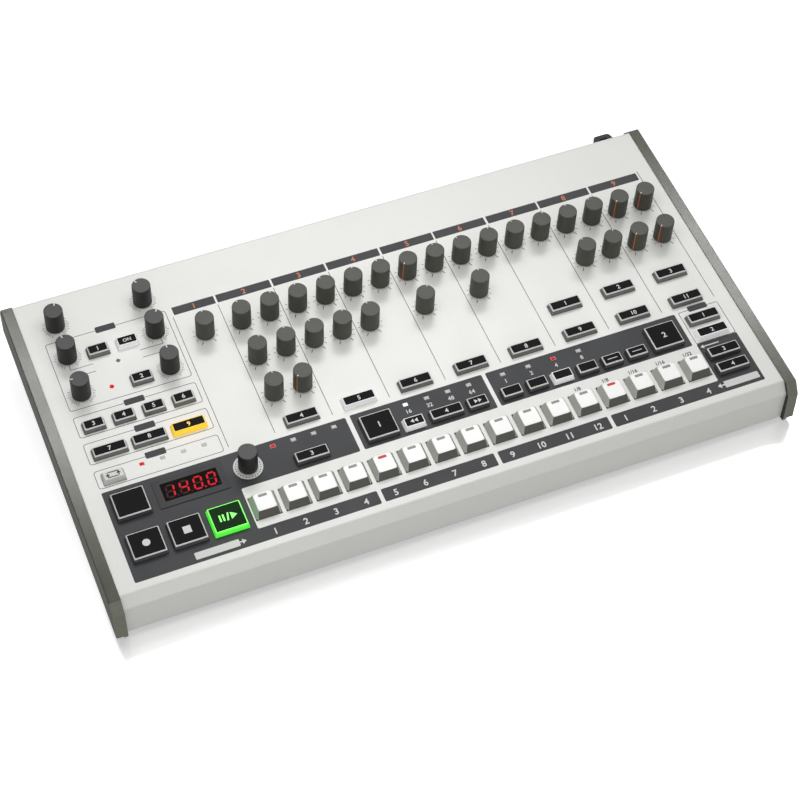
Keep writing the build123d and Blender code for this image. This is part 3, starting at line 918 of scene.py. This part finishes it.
def length_signs():
    signs = Shape()
    for at, turn in ((BACK_X, -1), (FORWARD_X, 1)):
        x, y, top = top_of("length_buttons", at, LENGTH_Y)
        for start in ARROWHEAD_STARTS:
            signs.slab(shifted(ARROWHEAD, x + turn * start, y, turn), *over(top, MARK))
    for at in DASH_XS:
        x, y, top = top_of("length_buttons", at, LENGTH_Y)
        signs.slab(bar(x - DASH_HALF, y, x + DASH_HALF, y, DASH_WIDTH), *over(top, MARK))
    signs.make("length_buttons_signs", "length_buttons", [PALE_INK])


def sync_sign():
    """Two arrows that form a loop, on the pale cap."""
    loop = Shape()
    x, y, top = top_of("mode_buttons", *SYNC_BUTTON)
    low, high = over(top, LOOP_MARK)
    for side in (1, -1):
        for x0, y0, x1, y1 in LOOP_BARS:
            loop.slab(bar(x + side * x0, y + side * y0, x + side * x1, y + side * y1, LOOP_WIDTH), low, high)
        loop.slab(shifted(LOOP_HEAD, x, y, side, side), low, high)
    loop.make("mode_buttons_signs", "mode_buttons", [DARK_INK])


transport_signs()
length_signs()
sync_sign()

# ---- step keys
KEY_INSET = 2.35  # from a key's foot to its top
KEY_ROUNDING = 1.9
KEY_PLATE = (-0.05, 0.1)  # foot and top of the plate over the key
WINDOW_HALF = (2.9, 1.0)
WINDOW_SET_BACK = 1.9  # from the top's rear edge to the window's middle
WINDOW_PLATE = (0.0, 0.15)
LIT_KEYS = (5, 13)

to_panel = PANEL.to_3x3().inverted()


def step_keys(name):
    """Paints four keys and gives them plates and windows; their front faces get a darker copy of the side colour
    as painted shade.
    """
    windows, tops = Shape(), Shape()
    mesh = nodes[name].data
    for key in keys[name]:
        facing = {p: to_panel @ mesh.polygons[p].normal for p in key["polygons"]}
        repaint(name, [p for p, normal in facing.items() if normal.y > -0.7], KEY_SIDE)
        # Front faces: painted shade.
        repaint(name, [p for p, normal in facing.items() if normal.y <= -0.7], KEY_FRONT_PAINTED_SHADE)
        top = key["high"].z
        tops.slab(within_solid(key, KEY_INSET, KEY_ROUNDING, 6), *over(top, KEY_PLATE))
        x, y = key["centre"].x, key["high"].y - KEY_INSET - WINDOW_SET_BACK
        lit = key_x.index(x) + 1 in LIT_KEYS
        windows.slab(rounded(half_box(x, y, WINDOW_HALF), 0.4), *over(top, WINDOW_PLATE), 1 if lit else 0)
    tops.make(f"{name}_tops", name, [KEY_WHITE], slot="key_white")
    windows.make(f"{name}_windows", name, [KEY_WINDOW, RED_SOFT])


for name in KEY_GROUPS:
    step_keys(name)

# ---- LEDs and display
LIT_LENSES = (
    ((127.4, LED_ROW), RED_GLOW),
    ((329.8, LED_ROW), RED_GLOW),
    ((221.2, LED_ROW), WHITE_GLOW),
    ((43.3, 89.1), RED_GLOW),
    ((43.9, 155.0), RED_GLOW),
)

BEZEL_OUTSIDE = box(44.0, 51.4, 91.4, 73.2)
BEZEL_INSIDE = box(48.5, 55.7, 86.9, 69.5)
BEZEL_LEVEL = (0.36, 0.6)  # foot and top above the panel
DIGIT_LEVEL = (0.38, 0.46)
DIGITS = "1400"
DIGITS_PLACE = (50.9, 57.9)  # foot of the first digit
DIGIT_PITCH = 9.3
DIGIT_WIDTH = 5.0
DIGIT_HEIGHT = 9.0
DIGIT_SLANT = 1.0
SEGMENT_HALF = 0.62
SEGMENT_GAP = 0.35
SEGMENT_POINT = 0.6
POINT_AFTER = 2  # the digit with a lit point
POINT_SHIFT = 6.9
POINT = 0.65  # radius

# Ends of each segment, in widths and heights of a digit, and the segments that each digit lights
SEGMENTS = {
    "a": ((0, 1), (1, 1)),
    "b": ((1, 1), (1, 0.5)),
    "c": ((1, 0.5), (1, 0)),
    "d": ((0, 0), (1, 0)),
    "e": ((0, 0.5), (0, 0)),
    "f": ((0, 1), (0, 0.5)),
    "g": ((0, 0.5), (1, 0.5)),
}
FIGURES = {"1": "bc", "4": "bcfg", "0": "abcdef"}


def segment_outline(x, y, ends):
    """A bar with pointed ends."""
    a, b = (Vector((x + DIGIT_WIDTH * u + DIGIT_SLANT * v, y + DIGIT_HEIGHT * v)) for u, v in ends)
    along = (b - a).normalized()
    off = Vector((-along.y, along.x)) * SEGMENT_HALF
    a, b = a + along * SEGMENT_GAP, b - along * SEGMENT_GAP
    near, far = a + along * SEGMENT_POINT, b - along * SEGMENT_POINT
    return [tuple(point) for point in (a, near - off, far - off, b, far + off, near + off)]


def display_figures():
    """The window's bezel and four digits of seven segments, lit and unlit."""
    display = Shape()
    display.ring(rounded(BEZEL_OUTSIDE, 1.0), rounded(BEZEL_INSIDE, 0.8), *BEZEL_LEVEL)
    for i, figure in enumerate(DIGITS):
        x, y = DIGITS_PLACE[0] + DIGIT_PITCH * i, DIGITS_PLACE[1]
        for segment, ends in SEGMENTS.items():
            display.slab(segment_outline(x, y, ends), *DIGIT_LEVEL, 1 if segment in FIGURES[figure] else 2)
        display.slab(circle(x + POINT_SHIFT, y, POINT, 10), *DIGIT_LEVEL, 1 if i == POINT_AFTER else 2)
    display.make("display_figures", "housing", [BEZEL, RED_GLOW, RED_DIM])


for (x, y), material in LIT_LENSES:
    repaint("led_lenses", nearest(lenses, x, y)["polygons"], material)
display_figures()

# ---- sockets and screws
# Places and sizes here are millimetres on the rear wall or the underside, and heights are above these faces.
JACK_HOLE = 3.4  # radius
JACK_RINGS = ((6.9, 40, 0, 0.5), (6.0, 6, 0.5, 2.2), (4.1, 32, 2.2, 3.0))  # radius, sides, foot, top
DIN_RING = (8.6, 7.6)  # radius outside and inside
DIN_INSERT = (6.3, -12.0, -6.0)  # radius, foot and top
DIN_PIN_RING = 3.9
DIN_PIN = 0.8
DIN_PINS = 5
DIN_SCREW_SHIFT = 11.4
DIN_SCREW = 1.6
USB_SHELL = ((4.9, 4.5), (4.3, 3.95))  # half width and height, outside and inside
USB_TONGUE = (2.8, 1.6)
POWER_PIN = [(0, -1.2), (0.7, -1.5), (1.0, -2.2), (1.0, -12.0), (0, -12.0)]
CASE_SCREW = 2.6
CASE_SCREW_XS = (-190, -70, 70, 190)  # from the middle of the underside
CASE_SCREW_YS = (-96, 96)

# A screw's head, in shares of its radius
HEAD = ((0, 0.34), (0.5, 0.3), (0.85, 0.16), (1, 0))
CROSS_LENGTH = 0.5
CROSS_WIDTH = 0.22
CROSS_LEVEL = (0.2, 0.36)
HEAD_SINK = 0.1  # millimetres


def face_frame(origin, right, up):
    """A frame in millimetres on a face: X to its right, Y up it and Z out of it."""
    right, up = Vector(right), Vector(up)
    turn = Matrix((right, up, right.cross(up))).transposed().to_4x4()
    return Matrix.Translation(origin) @ turn @ MM


def screw(shape, x, y, radius, turn=0.3):
    """A low domed head with a cross in it."""
    head = [(r * radius, height * radius) for r, height in HEAD] + [(radius, -HEAD_SINK), (0, -HEAD_SINK)]
    shape.turned(head, Matrix.Translation((x, y, 0)), 24)
    for angle in (turn, turn + math.pi / 2):
        dx, dy = (CROSS_LENGTH * radius * f for f in (math.cos(angle), math.sin(angle)))
        low, high = (level * radius for level in CROSS_LEVEL)
        shape.slab(bar(x - dx, y - dy, x + dx, y + dy, CROSS_WIDTH * radius), low, high, 1)


def jack_parts(metal, x, y):
    """Washer, nut and bush."""
    for radius, sides, low, high in JACK_RINGS:
        metal.ring(circle(x, y, radius, sides), circle(x, y, JACK_HOLE, sides), low, high)


def din_parts(metal, inserts, x, y):
    outer, inner = DIN_RING
    metal.ring(circle(x, y, outer, 48), circle(x, y, inner, 48), 0, 0.5)
    radius, foot, top = DIN_INSERT
    inserts.slab(circle(x, y, radius, 40), foot, top)
    for i in range(DIN_PINS):
        angle = math.pi * (1 + i / (DIN_PINS - 1))
        place = (x + DIN_PIN_RING * math.cos(angle), y + DIN_PIN_RING * math.sin(angle))
        inserts.slab(circle(*place, DIN_PIN, 16), top, top + 0.1, 1)
    for side in (-DIN_SCREW_SHIFT, DIN_SCREW_SHIFT):
        screw(metal, x + side, y, DIN_SCREW)


def rear_sockets():
    """Metal and moulded parts of the sockets, at the openings that the record names."""
    wall = max(solid["high"].y for solid in solids("bottom_tray", MM.inverted()))
    rear = face_frame((0, wall / 1000, 0), (-1, 0, 0), (0, 0, 1))
    metal, inserts = Shape(), Shape()
    for opening in frame["record"]["physics"]["openings"]:
        low, high = (Vector(corner) * 1000 for corner in opening["box_m"])
        x, y = -(low.x + high.x) / 2, (low.z + high.z) / 2
        name = opening["name"]
        if name.startswith("jack"):
            jack_parts(metal, x, y)
        elif name.startswith("din"):
            din_parts(metal, inserts, x, y)
        elif name == "usb_socket":
            outer, inner = USB_SHELL
            metal.ring(half_box(x, y, outer), half_box(x, y, inner), -0.1, 0.3)
            inserts.slab(half_box(x, y, USB_TONGUE), -12.0, -3.0, 2)
        elif name == "power_inlet":
            metal.turned(POWER_PIN, Matrix.Translation((x, y, 0)))
    metal.make("rear_metal_parts", "housing", [CHROME, LABEL], rear)
    inserts.make("rear_socket_inserts", "housing", [MOULDED, LABEL, CAP_LIT], rear)


def underside_screws():
    underside = min(solid["low"].z for solid in solids("bottom_tray", MM.inverted()))
    face = face_frame((0, 0, underside / 1000), (1, 0, 0), (0, -1, 0))
    below = Shape()
    for x in CASE_SCREW_XS:
        for y in CASE_SCREW_YS:
            screw(below, x, y, CASE_SCREW, 0.3 + x)
    below.make("underside_screws", "housing", [CHROME, LABEL], face)


rear_sockets()
underside_screws()

# ---- floor and world
# Distances here are metres. Behind and beside the object the floor is as behind, in front of it as in front,
# and all of it goes over to plain white away from the object. Where it is seen the floor glows, a painted light
# that is stronger behind and beside the object, where it mostly washes the object's shadow out, than in front of
# it, where the shadow shows.
FLOOR_HALF = 6.0
AWAY = (0.04, 0.16)  # distance from the object over which the floor goes over to white
FRONT = (0.033, -0.002)  # from the object's front edge, where behind goes over to in front
FLOOR_GLOW_BEHIND = 0.76
FLOOR_GLOW_FRONT = 0.56
FLOOR_GLOW_AWAY = 1.0
MIRROR_BEHIND = 0.04
MIRROR_FRONT = 0.38
MIRROR_AWAY = 0.02
MIRROR_ROUGHNESS = 0.3
SHADOW_GREY = 0.8
BOUNCE_GREY = 0.55
AMBIENT = 0.37
SEEN_WHITE = 1.0


def seen_directly(tree):
    """One for camera, glossy and transmission rays, zero for the rest."""
    rays = tree.nodes.new("ShaderNodeLightPath").outputs
    last = rays["Is Camera Ray"]
    for name in ("Is Glossy Ray", "Is Transmission Ray"):
        either = tree.nodes.new("ShaderNodeMath")
        either.operation = "MAXIMUM"
        tree.links.new(last, either.inputs[0])
        tree.links.new(rays[name], either.inputs[1])
        last = either.outputs[0]
    return last


def pale_floor():
    """White where it is seen, with a faint mirror and the object's shadow, which its painted glow mostly washes
    out beside and behind the object; grey for its bounced light.
    """
    material = bpy.data.materials.new("floor_pale")
    material.use_nodes = True
    tree = material.node_tree
    tree.nodes.clear()
    add, join = tree.nodes.new, tree.links.new
    place = add("ShaderNodeTexCoord").outputs["Object"]

    def step(operation, source, value=None):
        node = add("ShaderNodeVectorMath")
        node.operation = operation
        join(source, node.inputs[0])
        if value:
            node.inputs[1].default_value = value
        return node.outputs["Value" if operation == "LENGTH" else "Vector"]

    def ramp(source, start, end, low, high):
        """From low to high, each a number or a socket, as the source goes from start to end."""
        node = add("ShaderNodeMapRange")
        node.inputs["From Min"].default_value = start
        node.inputs["From Max"].default_value = end
        for name, value in (("To Min", low), ("To Max", high)):
            if isinstance(value, float):
                node.inputs[name].default_value = value
            else:
                join(value, node.inputs[name])
        join(source, node.inputs["Value"])
        return node.outputs["Result"]

    def mixed(factor, first, second):
        node = add("ShaderNodeMixShader")
        join(factor, node.inputs["Fac"])
        join(first, node.inputs[1])
        join(second, node.inputs[2])
        return node.outputs[0]

    def matt(grey):
        node = add("ShaderNodeBsdfDiffuse")
        node.inputs["Color"].default_value = (grey, grey, grey, 1)
        return node.outputs[0]

    low, high = size_at_load
    half = (high[0], high[1], 1.0)
    beyond = step("MAXIMUM", step("SUBTRACT", step("ABSOLUTE", place), half), (0.0, 0.0, 0.0))
    away = ramp(step("LENGTH", beyond), *AWAY, 0.0, 1.0)
    apart = add("ShaderNodeSeparateXYZ")
    join(place, apart.inputs[0])
    front = ramp(apart.outputs["Y"], low[1] + FRONT[0], low[1] + FRONT[1], 0.0, 1.0)
    # The floor's glow where it is seen: painted light over the object's shadow beside and behind it.
    painted_glow, lit = add("ShaderNodeEmission"), add("ShaderNodeAddShader")
    white = ramp(away, 0.0, 1.0, ramp(front, 0.0, 1.0, FLOOR_GLOW_BEHIND, FLOOR_GLOW_FRONT), FLOOR_GLOW_AWAY)
    join(white, painted_glow.inputs["Strength"])
    join(matt(SHADOW_GREY), lit.inputs[0])
    join(painted_glow.outputs[0], lit.inputs[1])
    glossy = add("ShaderNodeBsdfAnisotropic")
    glossy.inputs["Roughness"].default_value = MIRROR_ROUGHNESS
    mirror = ramp(away, 0.0, 1.0, ramp(front, 0.0, 1.0, MIRROR_BEHIND, MIRROR_FRONT), MIRROR_AWAY)
    shine = mixed(mirror, lit.outputs[0], glossy.outputs[0])
    choice = mixed(seen_directly(tree), matt(BOUNCE_GREY), shine)
    join(choice, add("ShaderNodeOutputMaterial").inputs["Surface"])
    return material


def floor():
    shape = Shape()
    shape.face(shape.loop((x, y, 0) for x, y in box(-FLOOR_HALF, -FLOOR_HALF, FLOOR_HALF, FLOOR_HALF)))
    mesh = bpy.data.meshes.new("floor")
    shape.mesh.to_mesh(mesh)
    shape.mesh.free()
    mesh.materials.append(pale_floor())
    plane = bpy.data.objects.new("floor", mesh)
    bpy.context.scene.collection.objects.link(plane)


def studio_world():
    """Plain white where it is seen, and a dimmer light on the object."""
    world = bpy.data.worlds.new("studio")
    bpy.context.scene.world = world
    world.use_nodes = True
    tree = world.node_tree
    tree.nodes.clear()
    add, join = tree.nodes.new, tree.links.new
    choice = add("ShaderNodeMixShader")
    join(seen_directly(tree), choice.inputs["Fac"])
    for i, strength in ((1, AMBIENT), (2, SEEN_WHITE)):
        background = add("ShaderNodeBackground")
        background.inputs["Color"].default_value = (1, 1, 1, 1)
        background.inputs["Strength"].default_value = strength
        join(background.outputs[0], choice.inputs[i])
    join(choice.outputs[0], add("ShaderNodeOutputWorld").inputs["Surface"])


floor()
studio_world()


# ---- lamps and camera
# Places here are metres on the panel.
def towards(start, end):
    """The turn that points an object's -Z from one place to another."""
    return (end - start).to_track_quat("-Z", "Y")


def softbox(name, place, aim, width, height, power):
    """A rectangular lamp."""
    lamp = bpy.data.lights.new(name, "AREA")
    lamp.shape = "RECTANGLE"
    lamp.size = width
    lamp.size_y = height
    lamp.energy = power
    holder = bpy.data.objects.new(name, lamp)
    bpy.context.scene.collection.objects.link(holder)
    start, end = PANEL @ Vector(place), PANEL @ Vector(aim)
    holder.location = start
    holder.rotation_mode = "QUATERNION"
    holder.rotation_quaternion = towards(start, end)
    return holder


softbox("softbox_above", (-0.1, -0.5, 1.2), aim=(0.2, 0.1, 0), width=0.8, height=0.8, power=0.9)
softbox("softbox_near", (0.19, 0.15, 0.45), aim=(0.19, 0.15, 0), width=0.3, height=0.2, power=0.5)
softbox("softbox_front", (0.1, -1.0, 0.3), aim=(0.2, 0, 0), width=0.6, height=0.4, power=1.5)
softbox("softbox_rear", (0.55, 0.92, 1.2), aim=(0.5, 0.12, 0), width=0.5, height=0.8, power=2.6)
strip = softbox("softbox_strip", (0.6, 0.957, 1.2), aim=(0.53, 0.12, 0), width=1.5, height=0.22, power=15.5)
strip.visible_diffuse = False  # it only draws highlights, as along the cheeks

CAMERA_PLACE = Vector((-0.113113, -0.632198, 1.106506))
CAMERA_AIM = Vector((0.219366, 0.077047, 0))
CAMERA_ROLL = math.radians(3.652)
LENS_MM = 91.46

camera = bpy.data.objects.new("camera", bpy.data.cameras.new("camera"))
bpy.context.scene.collection.objects.link(camera)
bpy.context.scene.camera = camera
turn = towards(CAMERA_PLACE, CAMERA_AIM).to_matrix().to_4x4() @ Matrix.Rotation(CAMERA_ROLL, 4, "Z")
camera.matrix_world = PANEL @ Matrix.Translation(CAMERA_PLACE) @ turn
camera.data.lens = LENS_MM
camera.data.clip_start = 0.05
camera.data.clip_end = 50
bpy.context.scene.view_settings.view_transform = "Standard"
